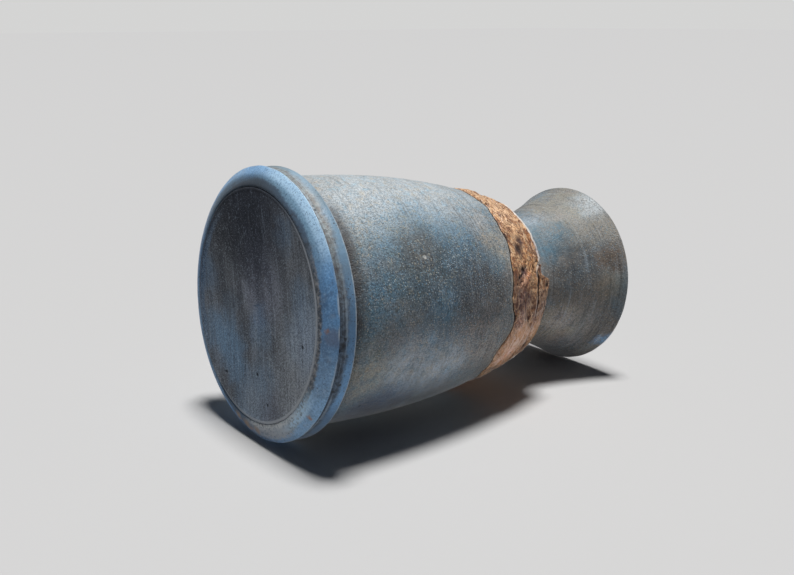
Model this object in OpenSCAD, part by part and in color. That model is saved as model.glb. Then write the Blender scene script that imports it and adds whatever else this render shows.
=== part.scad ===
// Stoneware vase, standing on its base: a thrown barrel on a double-ringed foot, a shoulder
// wrapped in a strip of torn raw clay, and a short flared neck. The clay members meet face to
// face, as they were luted together before firing. Millimetres, +Z up, origin at the centre
// of the base.

/* [Body] */
// Widest diameter of the barrel
belly_d = 111; // [96:1:126]
// Height of the widest point of the barrel
belly_z = 36.5; // [28:0.5:50]
// Diameter of the barrel's curve at the ledge under the neck
shoulder_d = 82.4; // [76:0.2:92]
// Height of the ledge under the neck
shoulder_z = 134.5; // [126:0.5:150]
// Power of the barrel's curve, where 2 is a parabola
belly_curve = 2.2; // [1.8:0.1:2.8]
// Thickness of the thrown wall
wall_t = 7; // [5:0.5:9]
// Height of the wall's upper edge, where the shoulder stands on it
seam_z = 113.5; // [106:0.5:120]
// Depth of the hollow where the wall leaves the bead
cove_depth = 1; // [0.4:0.1:2]
// Height of that hollow
cove_h = 4; // [2:0.5:8]

/* [Foot] */
// How far the foot ring stands out past the wall's foot
foot_proj = 6.1; // [5:0.1:8]
// Height of the foot ring
foot_h = 5; // [4:0.1:8]
// Width of the foot ring, from the base disc to its widest circle
foot_w = 8.7; // [7:0.1:11]
// How far the foot ring's underside swells past a straight bevel
foot_swell = 0.8; // [0.3:0.1:1.2]
// Height of the worn edge above the foot ring's widest circle
foot_edge = 0.5; // [0.3:0.1:1]
// How far the bead stands out past the wall's foot
bead_proj = 5.9; // [4.5:0.1:7]
// Height of the bead
bead_h = 8.4; // [6:0.1:11]
// Depth of the groove between the foot ring and the bead
groove_depth = 3; // [1.5:0.1:3.8]
// Height of the bead's worn upper edge
bead_edge = 1.2; // [0.4:0.1:2]
// Thickness of the floor
floor_t = 7.5; // [6:0.5:12]
// Radius of the floor's inner corner
floor_round = 6; // [3:0.5:10]

/* [Shoulder] */
// How deep the torn band is let in to the shoulder
rebate = 2; // [1.2:0.1:3]
// Rise of the sloping ledge above the band
ledge_rise = 4; // [3:0.1:7]
// Run of the sloping ledge above the band
ledge_run = 2.4; // [1.5:0.1:4]
// Thickness of the shoulder's crown, under the neck
crown_t = 5; // [4:0.5:8]

/* [Neck] */
// Height of the neck, from the crown to the lip
neck_h = 53.5; // [44:0.5:66]
// Diameter of the neck's waist
waist_d = 61; // [54:1:66]
// Diameter of the mouth
mouth_d = 92.2; // [80:0.2:104]
// Thickness of the neck at its waist
neck_t = 5; // [4:0.5:6.5]
// Thickness of the rounded lip
lip_t = 3.6; // [2.4:0.1:4.5]
// Height of the spread root below the waist
root_h = 9; // [6:0.5:14]
// Set-back of the root from the crown's edge
root_inset = 1; // [0.6:0.1:2]
// Power of the flare, where 1 is a straight cone
flare_curve = 1.35; // [1.1:0.05:2]

/* [Torn band] */
// Thickness of the band's feathered lower edge
feather_t = 0.6; // [0.4:0.1:1.2]
// How far the ragged lower edge hangs below the seam, on average
ragged_drop = 5; // [3:0.5:7]
// How far the torn upper edge wanders
ragged_top = 0.8; // [0.3:0.1:1.2]
// Height of the lumps and depth of the pits in the band
relief = 1; // [0.3:0.1:1.6]
// Which of the many random tears the band shows
tear_seed = 11; // [1:1:99]
// Start of the torn strip above the band, in degrees
strip_from = 18; // [0:1:90]
// Length of the torn strip round the shoulder, in degrees
strip_sweep = 196; // [90:1:260]
// How far the band is torn away below the ledge, to make room for the strip
strip_lap = 5.5; // [3:0.5:8]
// Height of the strip's torn edge above the ledge
strip_rise = 2.6; // [1.5:0.1:3.5]
// Extra height of the flap that stands up near the strip's start
flap_rise = 3.2; // [1:0.1:4]
// Width of the crevice between the band and the strip
crevice = 0.6; // [0.4:0.1:1]
// Gap left by the slip between a torn piece and its seat
seat_gap = 0.2; // [0.1:0.05:0.4]

/* [Hidden] */
$fn = 96;

wall_steps = 24;   // straight facets that follow a long curve
dome_steps = 10;   // facets of the shoulder's dome
band_steps = 160;  // sections round the torn band
band_rows = 15;    // rows of points up the band's face
seat_rows = 4;     // rows of points up the band's back
strip_steps = 90;  // sections along the torn strip
strip_rows = 6;    // rows of points up the strip's face
tear_cols = 36;    // cells of the tear round the band
tear_rows = 12;    // cells of the tear up the band, before they repeat
tear_cell = 5;     // height of a cell, in millimetres
corner_lip = 1.2;  // width of the floor's upstand, at its top
run_out = 9;       // degrees over which the strip comes in and goes out
flap_at = 17;      // degrees from the strip's start to the top of its flap
flap_spread = 9;   // degrees over which the flap dies away
strip_brim = 0.8;  // height of the strip's free edge above its seat

// Depth of the ragged lower edge, as shares of the drop: [degrees, share] round the band
ragged_line = [
    [0, 0.9], [12, 0.6], [41, 1.3], [57, 0.35], [70, 1.65], [90, 1.75], [112, 0.8], [138, 1.3], [160, 0.5],
    [188, 1.05], [214, 1.5], [236, 0.6], [262, 1.25], [286, 0.5], [306, 0.8], [332, 1.15], [340, 0.4],
    [355, 0.85], [360, 0.9]
];

bead_z = foot_h + bead_h;
wall_foot_r = body_r(bead_z) - cove_depth;
foot_r = wall_foot_r + foot_proj;
base_r = foot_r - foot_w;
bead_r = wall_foot_r + bead_proj;
groove_r = bead_r - groove_depth;
floor_r = wall_foot_r - wall_t;
floor_top = floor_t + floor_round;
wide_z = foot_h - foot_edge;
roll_chord = norm([foot_w, wide_z]);
roll_r = (roll_chord * roll_chord / 4 + foot_swell * foot_swell) / (2 * foot_swell);
roll_in = (roll_r - foot_swell) / roll_chord;
bead_rise = bead_h - bead_edge;
bead_round = (groove_depth * groove_depth + bead_rise * bead_rise) / (2 * groove_depth);

crown_z = shoulder_z + ledge_rise;
ledge_r = seat_r(shoulder_z);
crown_r = ledge_r - ledge_run;
throat_r = waist_d / 2 - neck_t;
dome_z = crown_z - crown_t;
waist_z = crown_z + root_h;
mouth_z = crown_z + neck_h - lip_t / 2;
root_r = crown_r - root_inset;

// Outside radius of the barrel's curve at height z
function body_r(z) =
    belly_d / 2 - (belly_d - shoulder_d) / 2 * pow(abs(z - belly_z) / (shoulder_z - belly_z), belly_curve);

// Fades from 1 at height z0 to 0 at h above it
function fade(z, z0, h) = pow(max(0, 1 - max(0, z - z0) / h), 2);

// Outside and inside of the thrown wall, above the bead and above the floor
function wall_out(z) = body_r(z) - cove_depth * fade(z, bead_z, cove_h);
function wall_in(z) = body_r(z) - wall_t - cove_depth * fade(z, floor_top, 2 * cove_h);

// Outside of the shoulder under the torn band
function seat_r(z) = body_r(z) - rebate;

// Inside of the shoulder's dome, from the seam to the throat
function dome_r(t) = throat_r + (wall_in(seam_z) - throat_r) * cos(90 * t);
function dome_h(t) = seam_z + (dome_z - seam_z) * sin(90 * t);

// Outside and inside of the neck
function flare(z) = max(0, (z - waist_z) / (mouth_z - waist_z));
function neck_out(z) = waist_d / 2 + (mouth_d - waist_d) / 2 * pow(flare(z), flare_curve)
    + (root_r - waist_d / 2) * fade(z, crown_z, root_h);
function neck_in(z) = z < waist_z ? throat_r : neck_out(z) - neck_t - (lip_t - neck_t) * flare(z);

// Heights between two limits, both included
function heights(z0, z1, steps) = [for (i = [0 : steps]) z0 + (z1 - z0) * i / steps];

// Random lumps between -1 and 1, smooth between the corners of a grid that closes round the axis
tear_grid = rands(-1, 1, tear_cols * tear_rows, tear_seed);
function tear_at(i, j) = tear_grid[j % tear_rows * tear_cols + i % tear_cols];
function ease(t) = t * t * (3 - 2 * t);
function blend(a, b, t) = a + (b - a) * t;
function lumps(u, v) =
    let (i = floor(u), j = floor(v), s = ease(u - i), t = ease(v - j))
    blend(
        blend(tear_at(i, j), tear_at(i + 1, j), s),
        blend(tear_at(i, j + 1), tear_at(i + 1, j + 1), s),
        t
    );

// Wander of a torn edge and relief of the torn face, at angle a and height z
function edge_wave(a, row) =
    let (u = (a % 360) / 360 * tear_cols)
    0.6 * lumps(u, row) + 0.4 * lumps(2 * u, row + 1);
function face_wave(a, z) =
    let (u = (a % 360) / 360 * tear_cols, v = z / tear_cell)
    0.65 * lumps(u, v) + 0.35 * lumps(3 * u, 2 * v);

// Ragged lower and upper limits of the band
function band_low(a) = seam_z - ragged_drop * (lookup(a % 360, ragged_line) + 0.2 * edge_wave(a, 2));
function band_high(a) = shoulder_z - strip_lap * strip_share(a) + ragged_top * edge_wave(a, 5);

// Share of the strip's full size at angle a: 0 at its ends and 1 along its length
function strip_share(a) =
    let (run = (a - strip_from) % 360, along = run < 0 ? run + 360 : run)
    ease(max(0, min(1, along / run_out, (strip_sweep - along) / run_out)));

// Torn face of the band: t runs from the lower edge to the upper one, and a pit stops short of its seat
function pit_floor(z) = z < seam_z + rebate ? feather_t / 2 : -rebate / 2;
function band_face(a, t, z) =
    body_r(z) + seat_gap + max(pit_floor(z), feather_t + relief * sin(180 * t) * face_wave(a, z));

// Section of the band at angle a: up its back and down its torn face
function band_section(a) =
    let (low = band_low(a), high = band_high(a), seat = seam_z + seat_gap)
    concat(
        [[body_r(low) + seat_gap, low]],
        [[body_r(seat) + seat_gap, seat]],
        [for (z = heights(seat, high, seat_rows)) [seat_r(z) + seat_gap, z]],
        [for (i = [band_rows : -1 : 0]) let (t = i / band_rows, z = low + (high - low) * t)
            [band_face(a, t, z), z]]
    );

// Outside of the ledge at height z, above the band
function ledge_out(z) = ledge_r - ledge_run * (z - shoulder_z) / ledge_rise;

// Torn upper edge of the strip
function strip_high(a) =
    shoulder_z + strip_rise * blend(0.5, 1, strip_share(a)) * (1 + 0.4 * edge_wave(a, 7))
    + flap_rise * exp(-pow((a - strip_from - flap_at) / flap_spread, 2));

// Section of the torn strip at angle a: up the shoulder and the ledge, and down its torn face
function strip_section(a) =
    let (
        low = band_high(a) + crevice,
        high = max(strip_high(a), low + 2 * strip_brim),
        seat = max(shoulder_z, low + seat_gap),
        rest = max(seat + seat_gap, min(crown_z - seat_gap, high - strip_brim))
    )
    concat(
        [[seat_r(min(low, shoulder_z)) + 2 * seat_gap, low]],
        [[ledge_r + 3 * seat_gap, seat]],
        [[ledge_out(rest) + 3 * seat_gap, rest]],
        [[ledge_out(rest) + 3 * seat_gap + strip_brim / 2, high]],
        [for (i = [strip_rows : -1 : 0]) let (t = i / strip_rows, z = low + (high - low) * t)
            [body_r(z) + seat_gap + feather_t + relief * sin(180 * t) * face_wave(a, z) / 2, z]]
    );

// Skin through a section that changes as it goes round the axis
module wrap(section, steps, from = 0, sweep = 360) {
    closed = sweep == 360;
    rows = closed ? steps : steps + 1;
    count = len(section(from));
    points = [for (i = [0 : rows - 1]) let (a = from + sweep * i / steps)
        for (p = section(a)) [p.x * cos(a), p.x * sin(a), p.y]];
    sides = [for (i = [0 : steps - 1], j = [0 : count - 1])
        let (near = i * count, far = (i + 1) % rows * count, k = (j + 1) % count)
        each [[near + j, far + j, far + k], [near + j, far + k, near + k]]];
    ends = closed ? [] : [
        [for (j = [0 : count - 1]) j],
        [for (j = [count - 1 : -1 : 0]) (rows - 1) * count + j]
    ];
    polyhedron(points = points, faces = concat(sides, ends));
}

module base_disc() {
    color("#3f4347")
        rotate_extrude()
            difference() {
                polygon([
                    [0, 0],
                    [base_r, 0],
                    [base_r, foot_h],
                    [floor_r, foot_h],
                    [floor_r, floor_top],
                    [floor_r - corner_lip, floor_top],
                    [floor_r - corner_lip - floor_round, floor_t],
                    [0, floor_t]
                ]);
                translate([floor_r - corner_lip - floor_round, floor_top])
                    circle(floor_round);
            }
}

module foot_ring() {
    color("#4a6f9c")
        rotate_extrude()
            union() {
                polygon([
                    [base_r, wide_z],
                    [foot_r, wide_z],
                    [foot_r - foot_edge, foot_h],
                    [base_r, foot_h]
                ]);
                intersection() {
                    translate([base_r + foot_w / 2 - wide_z * roll_in, wide_z / 2 + foot_w * roll_in])
                        circle(roll_r);
                    translate([base_r, 0])
                        square([foot_w, wide_z]);
                }
            }
}

module foot_bead() {
    crest_z = bead_z - bead_edge;
    color("#476893")
        rotate_extrude()
            union() {
                polygon([
                    [wall_foot_r, foot_h],
                    [groove_r, foot_h],
                    [bead_r, crest_z],
                    [bead_r - bead_edge / 3, bead_z],
                    [wall_foot_r, bead_z]
                ]);
                intersection() {
                    translate([bead_r - bead_round, crest_z])
                        circle(bead_round);
                    translate([wall_foot_r, foot_h])
                        square([bead_proj, bead_rise]);
                }
            }
}

module body_wall() {
    outside = [for (z = heights(bead_z, seam_z, wall_steps)) [wall_out(z), z]];
    inside = [for (z = heights(seam_z, floor_top, wall_steps)) [wall_in(z), z]];
    color("#56676f")
        rotate_extrude()
            polygon(concat([[floor_r, foot_h], [wall_foot_r, foot_h]], outside, inside));
}

module shoulder_ring() {
    outside = [for (z = heights(seam_z, shoulder_z, dome_steps)) [seat_r(z), z]];
    inside = [for (i = [dome_steps : -1 : 0]) let (t = i / dome_steps) [dome_r(t), dome_h(t)]];
    color("#6d5a4a")
        rotate_extrude()
            polygon(concat(outside, [[crown_r, crown_z], [throat_r, crown_z]], inside));
}

module bark_band() {
    color("#a8622f")
        wrap(function(a) band_section(a), band_steps);
}

module torn_strip() {
    color("#7d5136")
        wrap(function(a) strip_section(a), strip_steps, strip_from, strip_sweep);
}

module neck_collar() {
    outside = [for (z = heights(crown_z, mouth_z, wall_steps)) [neck_out(z), z]];
    inside = [for (z = heights(mouth_z, crown_z, wall_steps)) [neck_in(z), z]];
    color("#5d6a6b")
        rotate_extrude()
            union() {
                polygon(concat(outside, inside));
                translate([mouth_d / 2 - lip_t / 2, mouth_z])
                    circle(lip_t / 2);
            }
}

base_disc();
foot_ring();
foot_bead();
body_wall();
shoulder_ring();
bark_band();
torn_strip();
neck_collar();
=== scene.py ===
import math

import bpy
from mathutils import Matrix, Vector, noise
from mathutils.bvhtree import BVHTree


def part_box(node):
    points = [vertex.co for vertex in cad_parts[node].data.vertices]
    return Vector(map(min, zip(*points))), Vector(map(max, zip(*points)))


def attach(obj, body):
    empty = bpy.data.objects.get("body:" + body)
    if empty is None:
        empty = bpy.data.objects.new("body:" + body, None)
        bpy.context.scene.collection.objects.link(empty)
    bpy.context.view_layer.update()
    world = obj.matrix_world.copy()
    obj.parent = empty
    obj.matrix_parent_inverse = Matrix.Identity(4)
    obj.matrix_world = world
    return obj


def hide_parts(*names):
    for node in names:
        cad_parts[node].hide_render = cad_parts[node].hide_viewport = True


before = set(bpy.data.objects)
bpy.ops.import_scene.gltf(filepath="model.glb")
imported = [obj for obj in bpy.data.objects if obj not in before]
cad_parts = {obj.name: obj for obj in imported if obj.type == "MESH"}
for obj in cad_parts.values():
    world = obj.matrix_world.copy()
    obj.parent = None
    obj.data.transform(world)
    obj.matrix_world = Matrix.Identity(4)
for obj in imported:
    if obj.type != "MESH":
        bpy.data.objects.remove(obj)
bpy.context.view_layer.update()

mm = 0.001
lipRound = 1.8 * mm  # roundings of the lip and the bead, where the pot touches the table
beadEdge = 1.2 * mm
noise.seed_set(7)  # the same swirl in the torn clay in every run
print("frame loaded:", ", ".join(sorted(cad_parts)))


# Places on and round the pot: turn is in degrees about its axis
def onAxis(radius, turn, height):
    angle = math.radians(turn)
    return Vector((radius * math.cos(angle), radius * math.sin(angle), height))


def easeStep(value, start, end):
    share = min(1.0, max(0.0, (value - start) / (end - start)))
    return share * share * (3 - 2 * share)


def hump(value, centre, width):
    return math.exp(-((value - centre) / width) ** 2)


def lump(point, size, seed=0.0):
    return noise.noise(point / size + Vector((seed, 2.3 * seed, 5.1)))


def roughLump(point, size, octaves, seed=0.0):
    return noise.fractal(point / size + Vector((seed, 2.3 * seed, 5.1)), 0.9, 2.0, octaves)


def pitDepth(point, size, mouth, share, seed=0.0):
    # 1 at the bottom of a small round pit, 0 outside; only a share of the cells has one
    gaps, corners = noise.voronoi(point / size + Vector((seed, seed, seed)))
    if 0.5 + 0.5 * noise.cell(corners[0] * 7.0) > share:
        return 0.0
    return 1 - easeStep(gaps[0], 0.35 * mouth, mouth)


def spread(start, end, steps):
    return [start + (end - start) * step / steps for step in range(steps + 1)]


# Radii read off the construction, so that each piece sits where its solid is
cadTrees = {}


def cadTree(node):
    if node not in cadTrees:
        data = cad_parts[node].data
        corners = [vertex.co for vertex in data.vertices]
        cadTrees[node] = BVHTree.FromPolygons(corners, [face.vertices for face in data.polygons])
    return cadTrees[node]


def radiusAlong(node, height, turn, start, direction, near):
    outward = onAxis(1.0, turn, 0.0)
    spot = cadTree(node).ray_cast(outward * start + Vector((0, 0, height)), outward * direction)[0]
    if spot is None:
        spot = cadTree(node).find_nearest(onAxis(near, turn, height))[0]
    return math.hypot(spot.x, spot.y)


def outerRadius(node, height, turn=0.4):
    return radiusAlong(node, height, turn, 1.0, -1.0, 50 * mm)


def innerRadius(node, height, turn=0.4):
    return radiusAlong(node, height, turn, 0.0, 1.0, 30 * mm)


def profile(radiusAt, node, heights, low=-1.0, high=1.0):
    # radius and height of rings along a solid, read between a low and a high point
    return [(radiusAt(node, min(high, max(low, height))), height) for height in heights]


def wrapLimits(node):
    # lowest and highest point of a wrapped solid at each turn
    columns = {}
    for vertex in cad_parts[node].data.vertices:
        turn = round(math.degrees(math.atan2(vertex.co.y, vertex.co.x)) % 360, 1)
        columns.setdefault(turn, []).append(vertex.co.z)
    full = 0.6 * max(len(heights) for heights in columns.values())  # leaves out half columns
    whole = {turn: heights for turn, heights in columns.items() if len(heights) >= full}
    return sorted((turn, min(heights), max(heights)) for turn, heights in whole.items())


def limitsAt(limits, turn):
    before = limits[-1]
    for after in limits:
        if after[0] >= turn:
            break
        before = after
    gap = (after[0] - before[0]) % 360
    share = 0.0 if gap == 0 else min(1.0, ((turn - before[0]) % 360) / gap)
    return tuple(before[side] + (after[side] - before[side]) * share for side in (1, 2))


# Meshes
def makePiece(name, points, faces, marks):
    # marks are the relief and the wear at each point, which the finishes read
    mesh = bpy.data.meshes.new(name)
    mesh.from_pydata(points, [], faces)
    for mark, values in zip(("relief", "wear"), zip(*marks)):
        mesh.attributes.new(mark, "FLOAT", "POINT").data.foreach_set("value", values)
    mesh.shade_smooth()
    mesh.validate()
    piece = bpy.data.objects.new(name, mesh)
    bpy.context.scene.collection.objects.link(piece)
    return piece


def turnPiece(name, rings, columns, shape, closed=True):
    # rings run up the outside; shape gives radius, height, relief and wear at a turn
    points, faces, marks = [], [], []
    for index, (radius, height) in enumerate(rings):
        for column in range(columns):
            turn = 360 * column / columns
            newRadius, newHeight, relief, wear = shape(turn, radius, height, index)
            points.append(onAxis(newRadius, turn, newHeight))
            marks.append((relief, wear))
    for index in range(len(rings) if closed else len(rings) - 1):
        here = index * columns
        there = (index + 1) % len(rings) * columns
        for column in range(columns):
            beside = (column + 1) % columns
            faces.append((here + column, here + beside, there + beside, there + column))
    if not closed:
        for ring, sign in ((0, -1), (len(rings) - 1, 1)):
            centre = len(points)
            points.append(Vector((0, 0, rings[ring][1])))
            marks.append((0.0, 0.0))
            for column in range(columns):
                pair = (ring * columns + column, ring * columns + (column + 1) % columns)
                faces.append((centre, *pair[::sign]))
    return makePiece(name, points, faces, marks)


def dress(piece, node, look):
    piece.data.materials.append(look)
    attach(piece, "root")
    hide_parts(node)
    print("made", piece.name, "with", len(piece.data.polygons), "faces")


# Finishes: short calls that add shader nodes and give back their sockets
class Finish:
    def __init__(self, name, tones=None):
        self.material = bpy.data.materials.new(name)
        self.material.use_nodes = True
        self.tree = self.material.node_tree
        self.shader = self.tree.nodes["Principled BSDF"]
        self.place = self.add("ShaderNodeTexCoord").outputs["Object"]
        self.tones = tones
        self.colour = None

    def add(self, kind, **settings):
        node = self.tree.nodes.new(kind)
        for setting, value in settings.items():
            setattr(node, setting, value)
        return node

    def feed(self, socket, value):
        if isinstance(value, str):
            value = self.tones[value]
        if isinstance(value, bpy.types.NodeSocket):
            self.tree.links.new(value, socket)
        elif socket.type == "RGBA":
            socket.default_value = (*value, 1.0)
        else:
            socket.default_value = value

    def grain(self, size, detail=3.0, rough=0.55, twist=0.0, at=None, output="Fac"):
        node = self.add("ShaderNodeTexNoise")
        self.feed(node.inputs["Vector"], self.place if at is None else at)
        settings = {"Scale": 1 / size, "Detail": detail, "Roughness": rough, "Distortion": twist}
        for socket, number in settings.items():
            node.inputs[socket].default_value = number
        return node.outputs[output]

    def vector(self, operation, first, second, output="Vector"):
        node = self.add("ShaderNodeVectorMath", operation=operation)
        self.feed(node.inputs[0], first)
        self.feed(node.inputs[1], second)
        return node.outputs[output]

    def stretched(self, scale, at=None):
        return self.vector("MULTIPLY", self.place if at is None else at, scale)

    def wandering(self, size, reach):
        # the place moved about by noise, for patches with uneven edges
        shift = self.vector("SUBTRACT", self.grain(size, 3, output="Color"), (0.5, 0.5, 0.5))
        return self.vector("ADD", self.place, self.vector("MULTIPLY", shift, (reach,) * 3))

    def math(self, operation, first, second=0.0):
        node = self.add("ShaderNodeMath", operation=operation)
        self.feed(node.inputs[0], first)
        self.feed(node.inputs[1], second)
        return node.outputs[0]

    def times(self, result, *others):
        for other in others:
            result = self.math("MULTIPLY", result, other)
        return result

    def plus(self, result, *others):
        for other in others:
            result = self.math("ADD", result, other)
        return result

    def span(self, value, low, high, start=0.0, end=1.0):
        node = self.add("ShaderNodeMapRange", interpolation_type="SMOOTHSTEP")
        self.feed(node.inputs["Value"], value)
        for socket, number in zip(("From Min", "From Max", "To Min", "To Max"), (low, high, start, end)):
            node.inputs[socket].default_value = number
        return node.outputs["Result"]

    def cloud(self, size, low, high, start=0.0, end=1.0, detail=3.0, rough=0.55):
        return self.span(self.grain(size, detail, rough), low, high, start, end)

    def blend(self, share, first, second, mode="MIX"):
        node = self.add("ShaderNodeMix", data_type="RGBA", blend_type=mode)
        self.feed(node.inputs["Factor"], share)
        self.feed(node.inputs[6], first)
        self.feed(node.inputs[7], second)
        return node.outputs[2]

    def coat(self, share, tone):
        # lays a tone over the colour so far
        self.colour = self.blend(share, self.colour, tone)

    def tint(self, share, tone):
        self.colour = self.blend(share, self.colour, tone, "MULTIPLY")

    def ramp(self, value, stops):
        node = self.add("ShaderNodeValToRGB")
        elements = node.color_ramp.elements
        while len(elements) < len(stops):
            elements.new(1.0)
        for element, (position, tone) in zip(elements, stops):
            element.position = position
            element.color = (*self.tones[tone], 1.0)
        self.feed(node.inputs["Fac"], value)
        return node.outputs["Color"]

    def dots(self, size, width, share):
        # round dots, faint to strong, in a share of the cells, and a random number for each
        node = self.add("ShaderNodeTexVoronoi")
        self.feed(node.inputs["Vector"], self.place)
        node.inputs["Scale"].default_value = 1 / size
        dot = self.span(node.outputs["Distance"], 0.5 * width, width, 1.0, 0.0)
        chance = self.add("ShaderNodeSeparateColor")
        self.feed(chance.inputs["Color"], node.outputs["Color"])
        strength = self.span(chance.outputs["Red"], 1 - share, 1.0)
        return self.times(dot, strength), chance.outputs["Green"]

    def patch(self, at, centre, width, soft):
        gap = self.vector("DISTANCE", at, tuple(centre), "Value")
        return self.span(gap, width * (1 - soft), width * (1 + soft), 1.0, 0.0)

    def spot(self, radius, turn, height, width, soft):
        return self.patch(self.place, onAxis(radius, turn, height), width, soft)

    def mark(self, name):
        return self.add("ShaderNodeAttribute", attribute_name=name).outputs["Fac"]

    def height(self):
        node = self.add("ShaderNodeSeparateXYZ")
        self.feed(node.inputs[0], self.place)
        return node.outputs["Z"]

    def fromAxis(self):
        return self.vector("LENGTH", self.stretched((1, 1, 0)), (0, 0, 0), "Value")

    def bump(self, height, depth, normal=None):
        node = self.add("ShaderNodeBump")
        node.inputs["Distance"].default_value = depth
        self.feed(node.inputs["Height"], height)
        if normal is not None:
            self.feed(node.inputs["Normal"], normal)
        return node.outputs["Normal"]

    def finish(self, roughness, normal, gloss):
        self.feed(self.shader.inputs["Base Color"], self.colour)
        self.feed(self.shader.inputs["Roughness"], roughness)
        self.feed(self.shader.inputs["Normal"], normal)
        self.shader.inputs["Specular IOR Level"].default_value = gloss["specular"]
        self.shader.inputs["Sheen Weight"].default_value = gloss["sheen"]
        self.shader.inputs["Sheen Roughness"].default_value = 0.5
        return self.material


# The photograph's camera, in the part's own frame
photoCamera = {
    "place": (0.33283, 0.18683, -0.20847),
    "right": (0.46820, 0.38557, 0.79506),
    "up": (0.54475, -0.83440, 0.08385),
    "focalPixels": 1000.0,
    "framePixels": 794,
    "sensor": 36.0,
}


def makeCamera():
    right, up = Vector(photoCamera["right"]), Vector(photoCamera["up"])
    lens = bpy.data.cameras.new("photoCamera")
    lens.sensor_width = photoCamera["sensor"]
    lens.lens = photoCamera["focalPixels"] * photoCamera["sensor"] / photoCamera["framePixels"]
    lens.clip_start, lens.clip_end = 0.01, 100
    camera = bpy.data.objects.new("photoCamera", lens)
    facing = Matrix((right, up, right.cross(up))).transposed().to_4x4()
    camera.matrix_world = Matrix.Translation(photoCamera["place"]) @ facing
    bpy.context.scene.collection.objects.link(camera)
    bpy.context.scene.camera = camera


# The table that the pot lies on in the photograph, and a floor for when it stands
stageSet = {
    "tableTurn": 135,
    "clearance": 0.2 * mm,
    "size": 30.0,
    "roughness": 0.8,
    "tableTone": (0.50, 0.495, 0.49),
    "tableSpecular": 0.2,
    "floorTone": (0.42, 0.42, 0.416),
    "floorGlow": 0.56,
    "beyondGlow": 0.86,
    "backTone": (0.66, 0.66, 0.655),
}


def tablePlane():
    # the plane touches the bead and the lip on the side that lies down
    bead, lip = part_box("foot_bead")[1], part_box("neck_collar")[1]
    beadHeight, lipHeight = bead.z - beadEdge, lip.z - lipRound
    side = onAxis(1.0, stageSet["tableTurn"], 0.0)
    tilt = math.atan2(bead.x - lip.x, lipHeight - beadHeight)
    down = side * math.cos(tilt) + Vector((0, 0, math.sin(tilt)))
    foot = onAxis(bead.x, stageSet["tableTurn"], beadHeight) + down * stageSet["clearance"]
    return foot, -down


def oneSidedMaterial(name, tone, glow, specular):
    # a plain surface that is seen from its front only
    look = Finish(name)
    inputs = look.shader.inputs
    look.feed(inputs["Base Color"], tone)
    look.feed(inputs["Emission Color"], tone)
    inputs["Roughness"].default_value = stageSet["roughness"]
    inputs["Specular IOR Level"].default_value = specular
    inputs["Emission Strength"].default_value = glow
    clear = look.add("ShaderNodeBsdfTransparent")
    mix = look.add("ShaderNodeMixShader")
    look.feed(mix.inputs[0], look.add("ShaderNodeNewGeometry").outputs["Backfacing"])
    look.feed(mix.inputs[1], look.shader.outputs[0])
    look.feed(mix.inputs[2], clear.outputs[0])
    look.feed(look.tree.nodes["Material Output"].inputs["Surface"], mix.outputs[0])
    return look.material


def stagePlane(name, place, across, along, material):
    half = stageSet["size"] / 2
    corners = [place + (across * x + along * y) * half for x, y in ((-1, -1), (1, -1), (1, 1), (-1, 1))]
    mesh = bpy.data.meshes.new(name)
    mesh.from_pydata(corners, [], [(0, 1, 2, 3)])
    mesh.materials.append(material)
    plane = bpy.data.objects.new(name, mesh)
    plane.visible_shadow = False
    plane.visible_glossy = False
    bpy.context.scene.collection.objects.link(plane)
    return plane


def makeStage():
    foot, up = tablePlane()
    away = Vector((up.x, up.y, 0)).normalized()
    across = away.cross(Vector((0, 0, 1)))
    look = oneSidedMaterial("paleTable", stageSet["tableTone"], 0.0, stageSet["tableSpecular"])
    stagePlane("table", foot, across, up.cross(across), look)
    # the floor is cut where the table meets it, and the half beyond glows more, without the table's light
    floorHeight = -stageSet["clearance"]
    meeting = (foot.dot(up) - floorHeight * up.z) / away.dot(up)
    halves = (("floor", stageSet["floorGlow"], 1), ("floorBeyond", stageSet["beyondGlow"], -1))
    for name, glow, side in halves:
        middle = away * (meeting + side * stageSet["size"] / 2) + Vector((0, 0, floorHeight))
        look = oneSidedMaterial(name, stageSet["floorTone"], glow, 0.0)
        plane = stagePlane(name, middle, across, away, look)
        plane.visible_diffuse = False
        plane.visible_transmission = False
    return up


# Soft studio light, set out from the table: up is away from it, behind is away from the camera
lamps = {
    "key": {"up": 1.0, "behind": 0.06, "right": 0.05, "light": 1.32, "spread": 15},
    "backLight": {"up": -0.29, "behind": 1.0, "right": 0.3, "light": 0.75, "spread": 20},
    "underFill": {"up": -1.0, "behind": 0.5, "right": 0.0, "light": 0.045, "spread": 60},
}
ambient = {"strength": 0.047, "tone": (0.85, 0.97, 1.2)}


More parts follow.
